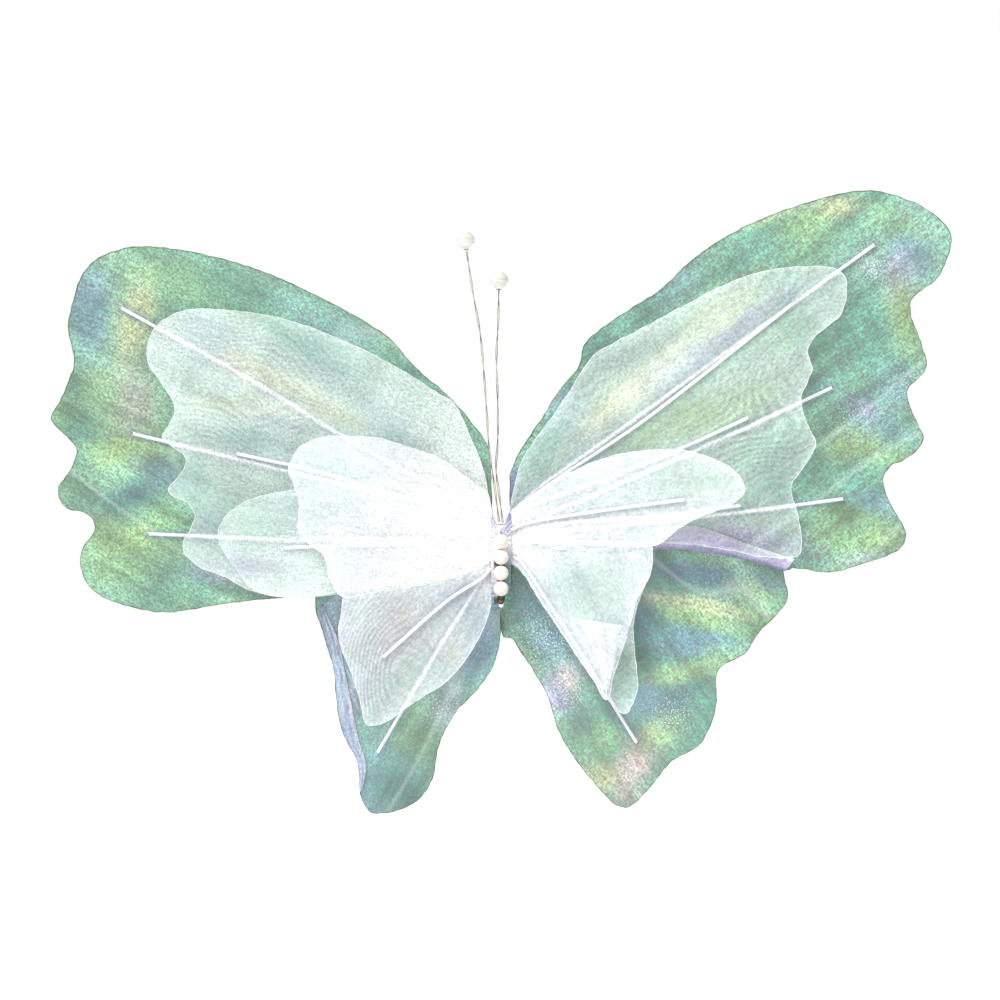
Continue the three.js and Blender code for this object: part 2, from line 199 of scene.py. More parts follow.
class Shades:
    # a material under construction
    def __init__(self, name, roughness, **fixed):
        self.material = bpy.data.materials.new(name)
        self.material.use_nodes = True
        self.tree = self.material.node_tree
        self.surface = self.tree.nodes["Principled BSDF"]
        self.surface.inputs["Roughness"].default_value = roughness
        for socket, value in fixed.items():
            self.surface.inputs[socket].default_value = value
        self.where = self.node("ShaderNodeTexCoord").outputs["Object"]

    def node(self, kind, **settings):
        made = self.tree.nodes.new(kind)
        for name, value in settings.items():
            setattr(made, name, value)
        return made

    def feed(self, socket, value):
        if isinstance(value, bpy.types.NodeSocket):
            self.tree.links.new(value, socket)
        elif isinstance(value, tuple) and len(value) == 3 and socket.type == "RGBA":
            socket.default_value = (*value, 1)
        else:
            socket.default_value = value

    def placed(self, turn=(0, 0, 0), stretch=(1, 1, 1)):
        made = self.node("ShaderNodeMapping")
        self.feed(made.inputs["Vector"], self.where)
        made.inputs["Rotation"].default_value = [math.radians(a) for a in turn]
        made.inputs["Scale"].default_value = stretch
        return made.outputs["Vector"]

    def cloud(self, scale, detail=3, rough=0.55, output="Fac", **place):
        made = self.node("ShaderNodeTexNoise")
        self.feed(made.inputs["Vector"], self.placed(**place))
        made.inputs["Scale"].default_value = scale
        made.inputs["Detail"].default_value = detail
        made.inputs["Roughness"].default_value = rough
        return made.outputs[output]

    def waves(self, scale, distortion, detailScale, **place):
        made = self.node("ShaderNodeTexWave")
        self.feed(made.inputs["Vector"], self.placed(**place))
        made.inputs["Scale"].default_value = scale
        made.inputs["Distortion"].default_value = distortion
        made.inputs["Detail Scale"].default_value = detailScale
        made.inputs["Detail"].default_value = 0
        return made.outputs["Fac"]

    def kept(self, name, output="Fac"):
        return self.node("ShaderNodeAttribute", attribute_name=name).outputs[output]

    def spread(self, value, low, high, toLow=0.0, toHigh=1.0):
        made = self.node("ShaderNodeMapRange")
        for socket, given in zip(made.inputs, (value, low, high, toLow, toHigh)):
            self.feed(socket, given)
        return made.outputs["Result"]

    def sum(self, how, a, b):
        made = self.node("ShaderNodeMath", operation=how)
        self.feed(made.inputs[0], a)
        self.feed(made.inputs[1], b)
        return made.outputs[0]

    def weigh(self, a, shareOfA, b, shareOfB):
        return self.sum("ADD", self.sum("MULTIPLY", a, shareOfA), self.sum("MULTIPLY", b, shareOfB))

    def mix(self, how, share, a, b):
        made = self.node("ShaderNodeMix", data_type="RGBA", blend_type=how)
        self.feed(made.inputs[0], share)
        self.feed(made.inputs[6], a)
        self.feed(made.inputs[7], b)
        return made.outputs[2]

    def grey(self, value):
        made = self.node("ShaderNodeCombineColor")
        for socket in made.inputs[:3]:
            self.feed(socket, value)
        return made.outputs[0]

    def bump(self, height, distance, strength=1.0):
        made = self.node("ShaderNodeBump")
        made.inputs["Distance"].default_value = distance
        made.inputs["Strength"].default_value = strength
        self.feed(made.inputs["Height"], height)
        self.feed(self.surface.inputs["Normal"], made.outputs["Normal"])

    def finish(self, colour, alpha=None, roughness=None):
        self.feed(self.surface.inputs["Base Color"], colour)
        if alpha is not None:
            self.feed(self.surface.inputs["Alpha"], alpha)
        if roughness is not None:
            self.feed(self.surface.inputs["Roughness"], roughness)
        return self.material


# how strongly each kind of cloth shows its grain, colours, bands, moire and painted crease highlights, and
# how it shines
organzaFinish = {
    "large": dict(grain=1.0, hue=0.34, bands=0.50, ripple=0.40, crease=0.14,
                  sheen=0.25, rough=0.42, glint=1.0),
    "medium": dict(grain=0.40, hue=0.20, bands=0.26, ripple=0.44, crease=0.12,
                   sheen=0.2, rough=0.45, glint=0.5),
    "folded": dict(grain=0.34, hue=0.20, bands=0.30, ripple=0.0, crease=0.10,
                   sheen=0.35, rough=0.36, glint=0.4),
    "small": dict(grain=0.26, hue=0.14, bands=0.18, ripple=0.34, crease=0.10,
                  sheen=0.2, rough=0.45, glint=0.3),
}


def organzaMaterial(layer):
    look = organzaFinish[layer]
    s = Shades(layer + " organza", look["rough"], **{
        "Sheen Weight": look["sheen"], "Sheen Roughness": 0.35, "Specular IOR Level": 0.45})
    s.where = s.kept("silk", "Vector")  # runs along and across the weave of each panel
    alongBands = s.cloud(58, detail=5, rough=0.62, stretch=(0.16, 1, 1))
    crossBands = s.cloud(60, detail=5, rough=0.6, stretch=(1, 0.25, 1))
    bands = s.weigh(alongBands, 0.68, crossBands, 0.32)
    alongThreads = s.cloud(900, detail=1, rough=0.6, stretch=(0.36, 1, 1))
    crossThreads = s.cloud(900, detail=1, rough=0.6, stretch=(1, 0.5, 1))
    threads = s.weigh(alongThreads, 0.5, crossThreads, 0.5)
    moire = s.waves(60, distortion=52, detailScale=0.32, turn=(0, 0, 78))
    moire = s.sum("ADD", s.sum("MULTIPLY", s.sum("SUBTRACT", moire, 0.3), s.kept("ripple")), 0.3)
    hues = s.cloud(620, detail=2, rough=0.7, output="Color")
    # pale lines painted along creases that the sheet's shape doesn't have: a painted highlight
    creaseHighlights = s.cloud(11, detail=1, rough=0.4, stretch=(0.22, 1, 1))
    creaseHighlights = s.sum("ABSOLUTE", s.sum("SUBTRACT", creaseHighlights, 0.5), 0.0)
    creaseHighlights = s.spread(creaseHighlights, 0.0, 0.010, look["crease"], 0.0)
    # light and dark along the silk, then the grain of the threads over it
    shine = s.spread(bands, 0.38, 0.62, 1 - look["bands"], 1 + look["bands"] * 0.5)
    speck = s.spread(threads, 0.36, 0.64, 1 - look["grain"] * 0.6, 1 + look["grain"] * 0.62)
    rings = s.spread(moire, 0, 1, 1 + look["ripple"] * 0.3, 1 - look["ripple"] * 0.7)
    tone = s.sum("MULTIPLY", s.sum("MULTIPLY", shine, speck), rings)
    colour = s.mix("MULTIPLY", 1.0, s.kept("tint", "Color"), s.grey(tone))
    colour = s.mix("OVERLAY", look["hue"], colour, hues)
    colour = s.mix("MIX", creaseHighlights, colour, (0.93, 0.95, 0.97))
    # tiny bright flecks where a thread catches the light
    fleck = s.spread(s.cloud(980, detail=1, rough=0.5), 0.58, 0.70)
    fleck = s.sum("MULTIPLY", fleck, s.sum("MULTIPLY", s.kept("glint"), look["glint"]))
    colour = s.mix("MIX", fleck, colour, (0.98, 0.99, 1.0))
    cover = s.sum("MULTIPLY", s.kept("cover"), s.spread(threads, 0.3, 0.7, 0.86, 1.1))
    s.bump(s.weigh(threads, 0.5, bands, 2.4), 0.0010, 0.6)
    return s.finish(colour, alpha=cover)


def meltedRimMaterial(name, dark, pale):
    # the sealed edge of a hot-cut panel
    s = Shades(name, 0.5)
    patchy = s.spread(s.cloud(95, detail=4, rough=0.7), 0.42, 0.58)
    colour = s.mix("MIX", patchy, dark, pale)
    s.bump(s.cloud(1400), 0.0003)
    return s.finish(colour)


mint, teal, sage = (140, 188, 154), (94, 148, 130), (132, 174, 126)
cream, lime, olive = (204, 208, 158), (158, 192, 126), (124, 148, 94)
sky, slate, navy = (148, 184, 200), (110, 148, 162), (76, 110, 126)
lilac, rose, frost = (166, 164, 196), (180, 166, 162), (206, 220, 230)
plum, pale, ivory = (104, 98, 146), (244, 247, 250), (247, 247, 224)

largeTints = {
    "left_large_forewing": [
        (-50, 1, 52, 9, 8, pale, 0.5), (-270, 165, 15, 36, 8, slate, 0.85), (-266, 186, 10, 12, 0, sky, 0.5),
        (-240, 158, 13, 30, -10, cream, 0.8), (-240, 106, 16, 30, 0, rose, 0.55),
        (-245, 78, 26, 13, 12, lime, 0.8), (-200, 185, 40, 16, -14, sage, 0.6),
        (-165, 178, 40, 12, -24, teal, 0.7), (-112, 150, 36, 16, -38, slate, 0.75),
        (-70, 120, 18, 20, -45, teal, 0.8), (-262, 110, 12, 22, 10, lime, 0.5),
        (-250, 44, 34, 14, 20, teal, 0.9), (-238, 48, 20, 8, 20, navy, 0.6),
        (-222, 60, 22, 10, -25, slate, 0.6), (-240, 8, 34, 20, 0, sage, 0.8),
        (-262, 22, 12, 12, 0, olive, 0.5), (-238, 20, 16, 9, 20, lime, 0.65),
        (-205, -6, 26, 12, -8, teal, 0.7), (-168, -6, 38, 9, -6, lilac, 0.7),
        (-175, 60, 34, 30, 0, mint, 0.7), (-215, 130, 26, 26, -10, mint, 0.5)],
    "left_large_hindwing": [
        (-70, -105, 60, 80, 0, teal, 0.5), (-46, -12, 44, 8, 10, pale, 0.5),
        (-84, -136, 20, 40, 0, slate, 0.5), (-70, -146, 30, 18, 0, slate, 0.6),
        (-70, -148, 24, 14, 0, navy, 0.4), (-108, -46, 17, 40, -6, (146, 172, 194), 0.95),
        (-104, -90, 10, 44, -12, slate, 0.8), (-100, -100, 7, 34, -14, lilac, 0.8),
        (-68, -145, 24, 16, 0, teal, 0.9), (-74, -140, 22, 24, 10, navy, 0.35),
        (-40, -92, 14, 22, 30, slate, 0.8), (-36, -98, 8, 14, 30, lilac, 0.7),
        (-18, -52, 16, 36, -25, (120, 146, 172), 0.8), (-56, -112, 18, 16, 0, sage, 0.7),
        (-62, -88, 30, 24, 0, mint, 0.7), (-78, -48, 30, 24, 0, sage, 0.5), (-32, -82, 7, 8, 0, frost, 0.35)],
    "right_large_forewing": [
        (235, 110, 60, 90, 0, teal, 0.4), (46, 14, 44, 8, 0, pale, 0.5), (66, 142, 20, 22, 42, teal, 0.95),
        # the long thin slate patch at 168, 138 is a painted shadow along the first wire
        (7, 48, 4, 20, -6, plum, 0.95), (66, 158, 18, 8, 40, teal, 0.8), (168, 138, 78, 4, 37, slate, 0.9),
        (48, 108, 10, 28, 35, navy, 0.4), (40, 100, 14, 20, 40, sky, 0.6), (112, 184, 30, 14, 38, slate, 0.7),
        (92, 168, 18, 8, 38, teal, 0.8), (172, 210, 40, 14, 24, teal, 0.7), (222, 236, 16, 8, 10, cream, 0.7),
        (172, 230, 22, 5, 18, cream, 0.4), (200, 226, 18, 10, 20, lime, 0.5),
        (270, 208, 20, 26, -10, slate, 0.8), (262, 190, 10, 18, -10, lilac, 0.6),
        (262, 226, 22, 9, -20, sage, 0.6), (242, 198, 6, 10, 40, frost, 0.35),
        (230, 208, 16, 12, 20, teal, 0.6), (267, 160, 12, 30, 12, olive, 0.8),
        (240, 148, 18, 30, 10, teal, 0.95), (262, 118, 20, 14, 0, slate, 0.7),
        (244, 97, 24, 12, -25, slate, 0.7), (236, 104, 12, 6, -25, lilac, 0.5),
        (252, 72, 26, 10, -25, lime, 0.5), (236, 60, 40, 12, -18, teal, 0.7),
        (246, 42, 18, 8, -25, slate, 0.7), (268, 60, 12, 14, 0, olive, 0.5), (226, 78, 16, 12, 0, olive, 0.7),
        (252, 16, 18, 10, 0, lime, 0.8), (236, 32, 24, 6, -10, olive, 0.5), (240, 3, 18, 6, 0, frost, 0.35),
        (218, 20, 18, 18, 0, sage, 0.7), (166, 18, 38, 9, -12, lilac, 0.85), (196, 8, 26, 6, -14, navy, 0.35),
        (84, 112, 48, 11, 42, cream, 0.95), (146, 168, 34, 10, 38, cream, 0.7),
        (40, 62, 22, 10, 50, cream, 0.5), (112, 130, 44, 8, 36, sky, 0.7), (150, 150, 56, 6, 38, lilac, 0.7),
        (188, 150, 44, 12, 34, mint, 0.7), (150, 104, 50, 14, 25, lime, 0.6),
        (92, 62, 40, 10, 28, frost, 0.5), (205, 118, 14, 10, 0, navy, 0.45), (60, 76, 30, 9, 45, slate, 0.7)],
    "right_large_hindwing": [
        (110, -75, 90, 80, 0, (86, 134, 118), 0.95), (42, 7, 40, 7, 0, pale, 0.5),
        (18, -30, 12, 24, 20, navy, 0.75), (34, -52, 12, 20, 30, slate, 0.8),
        (36, -88, 12, 14, 0, lilac, 0.8), (44, -74, 8, 10, 0, rose, 0.7), (58, -64, 10, 10, 0, lilac, 0.6),
        (90, -128, 22, 12, 58, rose, 0.9), (64, -112, 16, 14, -30, sage, 0.6),
        (66, -140, 14, 10, 0, cream, 0.7), (84, -150, 12, 8, 0, rose, 0.6),
        (127, -52, 36, 10, -6, slate, 0.85), (92, -88, 14, 14, 0, slate, 0.8),
        (118, -84, 24, 14, 20, navy, 0.5), (140, -92, 12, 24, 10, teal, 0.7),
        (90, -26, 15, 22, 0, navy, 0.75), (134, -27, 40, 6, -10, cream, 0.55),
        # the navy patch at 138, -7 is a painted shadow under the forewing's turned-over strip
        (126, -70, 28, 7, 10, lime, 0.6), (130, -36, 30, 5, -14, lime, 0.6), (138, -7, 58, 8, -8, navy, 0.95),
        (166, -20, 16, 10, -40, lime, 0.5), (172, -42, 12, 14, -35, sage, 0.7),
        (150, -62, 16, 10, 0, sage, 0.7), (104, -112, 18, 10, 25, lime, 0.5),
        (70, -86, 12, 16, -30, teal, 0.8), (54, -104, 10, 12, 0, navy, 0.4)],
}

whiteTints = {
    "left_medium_forewing": [
        (-158, 126, 76, 8, -26, ivory, 0.75), (-165, 104, 50, 6, -6, ivory, 0.5),
        (-130, 150, 60, 10, -28, mint, 0.4), (-196, 148, 20, 18, 0, frost, 0.7),
        (-90, 104, 40, 8, -34, frost, 0.6), (-120, 138, 34, 8, -30, sky, 0.45),
        (-168, 82, 34, 9, -8, slate, 0.6), (-140, 92, 24, 5, -10, lilac, 0.4),
        (-72, 84, 24, 14, -40, sky, 0.4), (-206, 56, 14, 20, 0, slate, 0.45),
        (-192, 28, 22, 12, 0, (190, 184, 216), 0.6), (-196, 20, 16, 8, 0, slate, 0.35)],
    "left_medium_hindwing": [
        (-160, 26, 26, 16, 0, mint, 0.4), (-120, 40, 40, 16, 0, sky, 0.25),
        (-176, 2, 30, 9, -8, (200, 194, 224), 0.6)],
    "left_small_forewing": [(-110, 60, 26, 22, 0, sky, 0.25), (-60, 60, 30, 20, 0, ivory, 0.12)],
    "left_small_hindwing": [
        (-72, -50, 34, 30, 0, (228, 220, 236), 0.7), (-66, -42, 14, 16, 0, (232, 206, 214), 0.35),
        (-80, -78, 14, 22, 0, (206, 202, 228), 0.4), (-30, -22, 22, 12, 25, lilac, 0.35),
        (-18, -34, 10, 18, 0, slate, 0.35), (-32, -58, 6, 6, 0, ivory, 0.55), (-60, -92, 7, 7, 0, ivory, 0.4),
        (-62, -32, 8, 6, 0, ivory, 0.4), (-50, -70, 22, 12, 30, mint, 0.3)],
    "right_medium_forewing": [
        (92, 118, 44, 9, 41, ivory, 0.7), (136, 150, 40, 8, 38, ivory, 0.5), (44, 50, 20, 10, 40, mint, 0.4),
        (160, 158, 44, 7, 38, lilac, 0.45), (160, 178, 30, 8, 34, frost, 0.6),
        (190, 160, 20, 20, 0, mint, 0.4), (120, 94, 50, 14, 25, lime, 0.45), (180, 60, 24, 26, 0, sky, 0.35),
        (150, 22, 36, 6, -8, lilac, 0.5), (84, 62, 40, 8, 26, frost, 0.5), (30, 62, 16, 20, 40, sky, 0.45),
        (44, 80, 14, 14, 40, slate, 0.35)],
    "right_medium_hindwing": [(84, -76, 10, 20, 0, mint, 0.4)],
    "right_small_forewing": [(120, 56, 34, 12, 0, mint, 0.3), (70, 50, 26, 14, 20, frost, 0.3)],
    "right_small_hindwing": [
        (60, -20, 22, 20, 0, mint, 0.35), (72, -48, 12, 18, 0, sky, 0.3), (40, -12, 20, 12, -20, sky, 0.3)],
}


def layPatches(colours, x, z, spots):
    # lays soft-edged patches over a ground colour
    for across, up, wide, high, lean, colour, strength in spots:
        turn = math.radians(lean)
        a = ((x - across) * math.cos(turn) + (z - up) * math.sin(turn)) / wide
        b = ((z - up) * math.cos(turn) - (x - across) * math.sin(turn)) / high
        edge = drift(x, z, 22, across * 0.37) * 0.35
        share = strength * np.exp(-np.clip(a * a + b * b + edge, 0, None) ** 1.4)
        colours += share[:, None] * (light(colour) - colours)
    return colours


panelLooks = {
    "large": dict(slot="iridescent_organza", cover=0.95, billow=2.6, flutter=2.6, rimRadius=0.25),
    "medium": dict(slot="white_organza", cover=0.46, billow=1.6, flutter=1.6, rimRadius=0.20),
    "small": dict(slot="white_organza", cover=0.62, billow=1.0, flutter=1.0, rimRadius=0.18),
}
# the weave's lean in each panel, in degrees
weave = dict(left_large_forewing=-28, left_large_hindwing=62, left_medium_forewing=-24,
             left_medium_hindwing=-4, left_small_forewing=-12, left_small_hindwing=48,
             right_large_forewing=38, right_large_hindwing=-56, right_medium_forewing=34,
             right_medium_hindwing=-60, right_small_forewing=14, right_small_hindwing=-64)
# how far a hindwing's upper edge reaches past its forewing's lower one: tucked behind, or just short of it
tuck = dict(large=4.0, small=-0.15, back=1.5, near=9.0, apart=1.3)
# where the panels are gathered, and their pleats: millimetres, pleats to a full turn, millimetres
gathers = dict(out=4.0, up=8.0, height=0.55, folds=52, fades=60)
cloth = dict(nearGap=1.0, growth=0.024, farGap=2.7, cutWander=0.35, reach=60.0)

organza = {layer: organzaMaterial(layer) for layer in organzaFinish}
rims = {
    "large": meltedRimMaterial("scorched rim", paint(52, 66, 36), paint(120, 150, 96)),
    "medium": meltedRimMaterial("sealed rim", paint(214, 232, 226), paint(246, 250, 250)),
}
rims["small"] = rims["medium"]


def fromGather(x, z):
    return np.hypot(np.abs(x) - gathers["out"], z - gathers["up"])


def awayFrom(x, z, line):
    # how far each point is from the nearest point of a line
    return np.hypot(x[:, None] - line[:, 0], z[:, None] - line[:, 1]).min(1)


def awayFromAll(x, z, lines):
    # the same for several lines, up to the reach that still matters
    return np.min([np.full(len(x), cloth["reach"])] + [awayFrom(x, z, line) for line in lines], axis=0)


def panelRim(name):
    # the edge of a panel's front face, from one end of its root round to the other, as x and z
    mesh = nodes[name].data
    edges = set()
    for face in mesh.polygons:
        if face.normal.y < -0.7:
            ring = [tuple(round(mesh.vertices[i].co[k] / mm, 2) for k in (0, 2)) for i in face.vertices]
            for a, b in zip(ring, ring[1:] + ring[:1]):
                if (b, a) in edges:
                    edges.remove((b, a))
                else:
                    edges.add((a, b))
    after = dict(edges)
    root = [(a, b) for a, b in edges if abs(abs(a[0]) - rootX) < 0.15 and abs(abs(b[0]) - rootX) < 0.15]
    last, first = max(root, key=lambda pair: abs(pair[0][1] - pair[1][1]))
    rim = [first]
    while rim[-1] != last:
        rim.append(after[rim[-1]])
    return np.array(rim if first[1] > last[1] else rim[::-1])


class Panel:
    def __init__(self, name):
        self.name, self.side = name, -1 if name.startswith("left") else 1
        self.layer = name.split("_")[1]
        self.look = panelLooks[self.layer]
        self.body = bodyOf[name]
        self.veins = {vein: wireLine(vein) for vein in bodies[self.body] if "_vein_" in vein}
        # wires of the layers behind, which show through as pale lines
        behind = dict(medium=["large"], small=["large", "medium"]).get(self.layer, [])
        self.ghosts = [smoothLine(wireLine(n), 1.5)[:, [0, 2]] for n in nodes if "_vein_" in n
                       and n.split("_")[0] == name.split("_")[0] and n.split("_")[1] in behind]
        spots = np.array([tuple(v.co) for v in nodes[name].data.vertices]) / mm
        self.lean, self.start = np.polyfit(np.abs(spots[:, 0]), spots[:, 1], 1)
        rim = smoothLine(panelRim(name), 1.6)
        root = rim[[0, -1]]
        wander = np.stack([drift(*rim.T, 5, 3.3), drift(*rim.T, 5, 8.1)], axis=1)
        fromRoot = np.minimum(np.linalg.norm(rim - root[0], axis=1), np.linalg.norm(rim - root[1], axis=1))
        self.seam = None
        if name.endswith("hindwing") and self.layer != "medium":
            self.seam = smoothLine(panelRim(name.replace("hind", "fore")), 1.6)
            away = awayFrom(*rim.T, self.seam)
            close = np.clip((tuck["near"] - away) / 3, 0, 1)
            if self.layer == "large":
                close = close * np.clip(fromRoot / 8, 0, 1)
            rim[:, 1] += close * (away + tuck[self.layer])
            if self.layer == "large":
                under = (np.abs(rim[:, 0]) < 5.9) & (rim[:, 1] < -26.5)
                share = under * np.clip((rim[:, 1] + 58) / 14, 0, 1)
                rim[:, 0] += share * (self.side * 0.3 - rim[:, 0])
        steady = np.clip(fromRoot / 20, 0, 1) * np.clip((np.abs(rim[:, 0]) - 0.5) / 4, 0, 1)
        self.rim = rim + wander * cloth["cutWander"] * steady[:, None]
        self.heart = np.array((self.side * rootX, root[:, 1].mean()))
        self.seed = sum(map(ord, name)) * 0.173

    def nearVein(self, x, z):
        return awayFromAll(x, z, [smoothLine(line, 3)[:, [0, 2]] for line in self.veins.values()])

    def pleats(self, x, z):
        # the folds that fan out from the root: how deep they are, and how much shade they hold
        radius = fromGather(x, z)
        turn = np.arctan2(z - gathers["up"], np.maximum(np.abs(x) - gathers["out"], 0.1))
        fold = np.sin(turn * gathers["folds"] + drift(turn * 30, radius, 9, 5.0) * 1.5)
        depth = fold * gathers["height"] * np.exp(-radius / gathers["fades"]) * (1 - np.exp(-radius / 10))
        shade = np.clip(fold, 0, 1) ** 3 * 0.30 * np.exp(-radius / 85) * (1 - np.exp(-radius / 14))
        return depth, shade

    def depth(self, x, z):
        # where the cloth lies, front to back: the flat panel, its gathers, billows and fluttering rim
        x, z = np.asarray(x, float), np.asarray(z, float)
        radius = fromGather(x, z)
        pleat = self.pleats(x, z)[0]
        free = 1 - np.exp(-(radius / 55) ** 2)
        slack = 1 - np.exp(-(self.nearVein(x, z) / 17) ** 2)
        billow = self.look["billow"] * free * slack * (drift(x, z, 48, self.seed) + 0.25)
        edge = np.exp(-awayFrom(x, z, self.rim[::2]) / 20)
        flutter = self.look["flutter"] * free * edge * slack * drift(x, z, 26, self.seed + 4)
        tucked = 0.0
        if self.seam is not None and self.layer == "large":
            above = awayFrom(x, z, self.seam)
            tucked = tuck["back"] * np.exp(-(above / 7) ** 2) * np.clip((np.abs(x) - 14) / 20, 0, 1)
            # under the stem the left one lies in front of the right one, so they pass when they swing
            tucked += self.side * tuck["apart"] * np.exp(-(x / 5) ** 2) * np.clip((-24 - z) / 5, 0, 1)
        return self.start + self.lean * np.abs(x) + pleat + billow + flutter + tucked


def insideRim(spots, rim):
    x, z = spots[:, :1], spots[:, 1:]
    ax, az = rim.T
    bx, bz = np.roll(rim, -1, axis=0).T
    rise = np.where(bz == az, 1e-9, bz - az)
    crossing = ((az > z) != (bz > z)) & (x < (bx - ax) * (z - az) / rise + ax)
    return crossing.sum(1) % 2 == 1


def fillPoints(panel):
    # rings of points round the root, close together there and wider further out
    spots, radius, turn = [panel.heart + (panel.side * 0.7, 0)], 1.2, 0.0
    farthest = np.linalg.norm(panel.rim - panel.heart, axis=1).max()
    while radius < farthest:
        gap = min(cloth["nearGap"] + cloth["growth"] * radius, cloth["farGap"])
        angles = np.arange(0, 2 * math.pi, gap / radius) + turn
        spots.extend(panel.heart + radius * np.stack([np.cos(angles), np.sin(angles)], axis=1))
        turn += 2.4
        radius += gap * 0.87
    wires = panel.ghosts + [smoothLine(own, 1.5)[:, [0, 2]] for own in panel.veins.values()]
    spots = np.array(spots)
    clear = awayFromAll(*spots.T, wires)
    spots = list(spots[(clear > 2.9) | (np.linalg.norm(spots - panel.heart, axis=1) < 14)])
    for line in wires:
        way = np.gradient(line, axis=0)
        way /= np.linalg.norm(way, axis=1)[:, None]
        outer = np.linalg.norm(line - panel.heart, axis=1) > 14
        for offset in (-2.3, -1.0, 0.0, 1.0, 2.3):
            spots.extend((line + way[:, ::-1] * (offset, -offset))[outer])
    spots = np.array(spots)
    spots = spots[insideRim(spots, panel.rim)]
    away = awayFrom(*spots.T, panel.rim)
    rootLine = np.abs(np.abs(spots[:, 0]) - rootX) > 0.45
    return spots[(away > 0.8) & rootLine]


def groundTint(panel, x, z):
    if panel.layer == "large":
        share = (drift(x, z, 55, panel.seed) * 0.5 + 0.5).clip(0, 1)[:, None]
        colours = light(teal) * (1 - share) + light(mint) * share
        warm = (drift(x, z, 34, panel.seed + 9) * 0.6).clip(0, 0.7)[:, None]
        return colours + warm * (light(sage) - colours)
    ground = np.repeat([paint(228, 243, 238) if panel.layer == "medium" else paint(240, 248, 250)], len(x), 0)
    near = np.exp(-(fromGather(x, z) / (gathered[panel.name] * 1.2)) ** 2)[:, None]
    return ground + near * (light((253, 253, 254)) - ground)


# where the moire rings and the bright flecks are strongest: place, size and strength
ripplePlaces = [(-84, -52, 34, 0.9), (-92, -84, 22, 0.7), (165, 85, 44, 0.9), (-150, 130, 60, 0.45),
                (-196, 100, 24, 0.4), (60, 120, 30, 0.5), (190, 180, 30, 0.5), (150, 20, 26, 0.4)]
glintPlaces = [(28, -48, 20, 0.8), (44, -82, 12, 0.8), (112, -100, 14, 0.8), (-40, -96, 12, 0.8),
               (246, 196, 16, 0.8), (160, 22, 32, 0.6), (266, 116, 14, 0.6), (232, 96, 16, 0.6)]


# strips of a panel's edge that are turned over to its front: where they stay joined, and where they end.
# Their colour runs from low at the joined edge through middle to the crest highlight at the free edge: the
# low colour is painted shade in the fold, the crest a painted highlight
turnups = {
    "right_large_forewing": dict(
        joined=[(98, 9.5), (116, 10), (131, 9), (145, 6.5), (158, 4), (171, 0.5), (187, -4)],
        free=[(101, 12), (115, 24), (129, 25.5), (145, 20.5), (160, 15), (176, 9.5), (193, 4)],
        bulge=3.4, low=(136, 134, 176), middle=(196, 190, 220), crestHighlight=(236, 232, 240), cover=0.98),
    "left_large_hindwing": dict(
        joined=[(-120, -26), (-116, -47), (-110.5, -68), (-107.5, -96), (-103, -114), (-94.6, -131),
                (-93.4, -150)],
        free=[(-117, -28), (-108, -48), (-103, -70), (-98, -95), (-94, -115), (-89, -132), (-91.5, -148)],
        bulge=2.2, low=(138, 158, 182), middle=(166, 180, 200), crestHighlight=(232, 228, 240), cover=0.97),
    "right_small_hindwing": dict(
        joined=[(84.5, -40), (79, -57), (73.6, -72), (69.7, -87)],
        free=[(50, -35), (59, -52), (65, -68), (69, -85)],
        bulge=1.6, low=(226, 232, 242), middle=(246, 250, 252), crestHighlight=(255, 255, 255), cover=0.72),
}


# where a white panel is denser than its layer, or pulled thin over a fold: place, size and share
thinPlaces = {"right_medium_forewing": [(140, 14, 58, 11, 0.12), (186, 60, 26, 40, 0.7)],
              "left_medium_forewing": [(-196, 40, 34, 30, 0.6)]}
denser = dict(left_medium_hindwing=1.35, left_medium_forewing=1.3, right_medium_forewing=0.92,
              right_small_forewing=0.9, right_small_hindwing=0.8, left_small_hindwing=0.86)
# how far from the root the gathered cloth stays nearly solid
gathered = dict(left_medium_forewing=58, left_small_forewing=62, left_medium_hindwing=60,
                left_small_hindwing=22, right_medium_forewing=16, right_small_forewing=34,
                right_small_hindwing=18, right_medium_hindwing=20)


